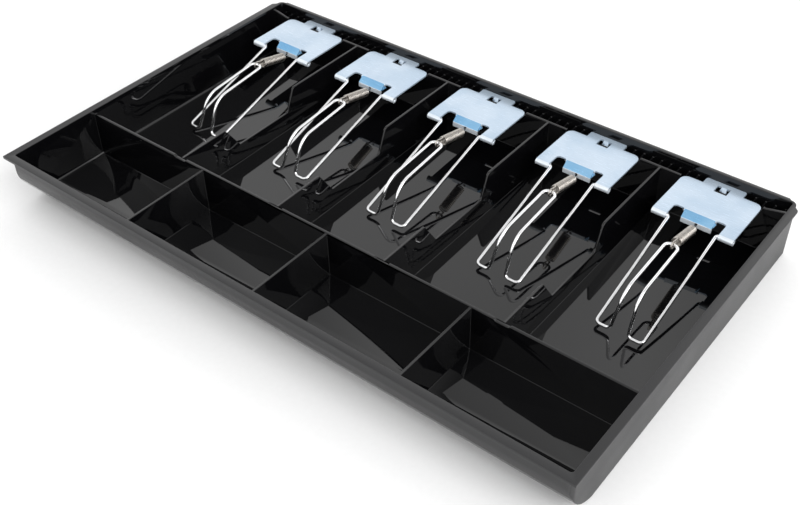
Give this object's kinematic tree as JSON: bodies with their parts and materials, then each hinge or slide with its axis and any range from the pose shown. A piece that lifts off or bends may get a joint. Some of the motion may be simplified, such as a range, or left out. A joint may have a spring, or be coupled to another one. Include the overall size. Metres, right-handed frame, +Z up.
{
  "type": "till drawer cash tray",
  "caption": "Moulded cash tray for a till drawer, with note compartments behind coin compartments and a sprung wire note clip on a steel plate in each note compartment.",
  "frame": {"origin": "middle of the underside, on the surface that the tray stands on", "axes": "+X to the right along the tray's length, +Y towards the clips at the back, +Z up"},
  "size_m": [0.405, 0.248, 0.037],
  "materials": {
    "tray_plastic": "black moulded plastic, polished inside and finely textured on the outside",
    "clip_steel": "pressed sheet steel, bright zinc with a pale blue passivation",
    "clip_wire": "bright plated round wire",
    "spring_steel": "close wound spring wire, slightly warm grey"
  },
  "bodies": {
    "tray": {"tray": "tray_plastic", "clip_plate_1": "clip_steel", "clip_plate_2": "clip_steel", "clip_plate_3": "clip_steel", "clip_plate_4": "clip_steel", "clip_plate_5": "clip_steel"},
    "wire_1": {"clip_wire_1": "clip_wire"},
    "spring_1": {"clip_spring_1": "spring_steel"},
    "wire_2": {"clip_wire_2": "clip_wire"},
    "spring_2": {"clip_spring_2": "spring_steel"},
    "wire_3": {"clip_wire_3": "clip_wire"},
    "spring_3": {"clip_spring_3": "spring_steel"},
    "wire_4": {"clip_wire_4": "clip_wire"},
    "spring_4": {"clip_spring_4": "spring_steel"},
    "wire_5": {"clip_wire_5": "clip_wire"},
    "spring_5": {"clip_spring_5": "spring_steel"}
  },
  "joints": [
    {"name": "wire_1_hinge", "type": "hinge", "parent": "tray", "child": "wire_1", "pos_m": [-0.158, 0.077, 0.02939], "axis": [-1, 0, 0], "range_deg": [0, 65]},
    {"name": "spring_1_pivot", "type": "hinge", "parent": "tray", "child": "spring_1", "pos_m": [-0.158, 0.08195, 0.02474], "axis": [-1, 0, 0], "range_deg": [0, 51.2]},
    {"name": "wire_2_hinge", "type": "hinge", "parent": "tray", "child": "wire_2", "pos_m": [-0.0822, 0.077, 0.02939], "axis": [-1, 0, 0], "range_deg": [0, 65]},
    {"name": "spring_2_pivot", "type": "hinge", "parent": "tray", "child": "spring_2", "pos_m": [-0.0822, 0.08195, 0.02474], "axis": [-1, 0, 0], "range_deg": [0, 51.2]},
    {"name": "wire_3_hinge", "type": "hinge", "parent": "tray", "child": "wire_3", "pos_m": [-0.0034, 0.077, 0.02939], "axis": [-1, 0, 0], "range_deg": [0, 65]},
    {"name": "spring_3_pivot", "type": "hinge", "parent": "tray", "child": "spring_3", "pos_m": [-0.0034, 0.08195, 0.02474], "axis": [-1, 0, 0], "range_deg": [0, 51.2]},
    {"name": "wire_4_hinge", "type": "hinge", "parent": "tray", "child": "wire_4", "pos_m": [0.079, 0.077, 0.02939], "axis": [-1, 0, 0], "range_deg": [0, 65]},
    {"name": "spring_4_pivot", "type": "hinge", "parent": "tray", "child": "spring_4", "pos_m": [0.079, 0.08195, 0.02474], "axis": [-1, 0, 0], "range_deg": [0, 51.2]},
    {"name": "wire_5_hinge", "type": "hinge", "parent": "tray", "child": "wire_5", "pos_m": [0.158, 0.077, 0.02939], "axis": [-1, 0, 0], "range_deg": [0, 65]},
    {"name": "spring_5_pivot", "type": "hinge", "parent": "tray", "child": "spring_5", "pos_m": [0.158, 0.08195, 0.02474], "axis": [-1, 0, 0], "range_deg": [0, 51.2]}
  ],
  "couplings": [
    {"joint": "spring_1_pivot", "follows": "wire_1_hinge", "ratio": 0.7875},
    {"joint": "spring_2_pivot", "follows": "wire_2_hinge", "ratio": 0.7875},
    {"joint": "spring_3_pivot", "follows": "wire_3_hinge", "ratio": 0.7875},
    {"joint": "spring_4_pivot", "follows": "wire_4_hinge", "ratio": 0.7875},
    {"joint": "spring_5_pivot", "follows": "wire_5_hinge", "ratio": 0.7875}
  ]
}
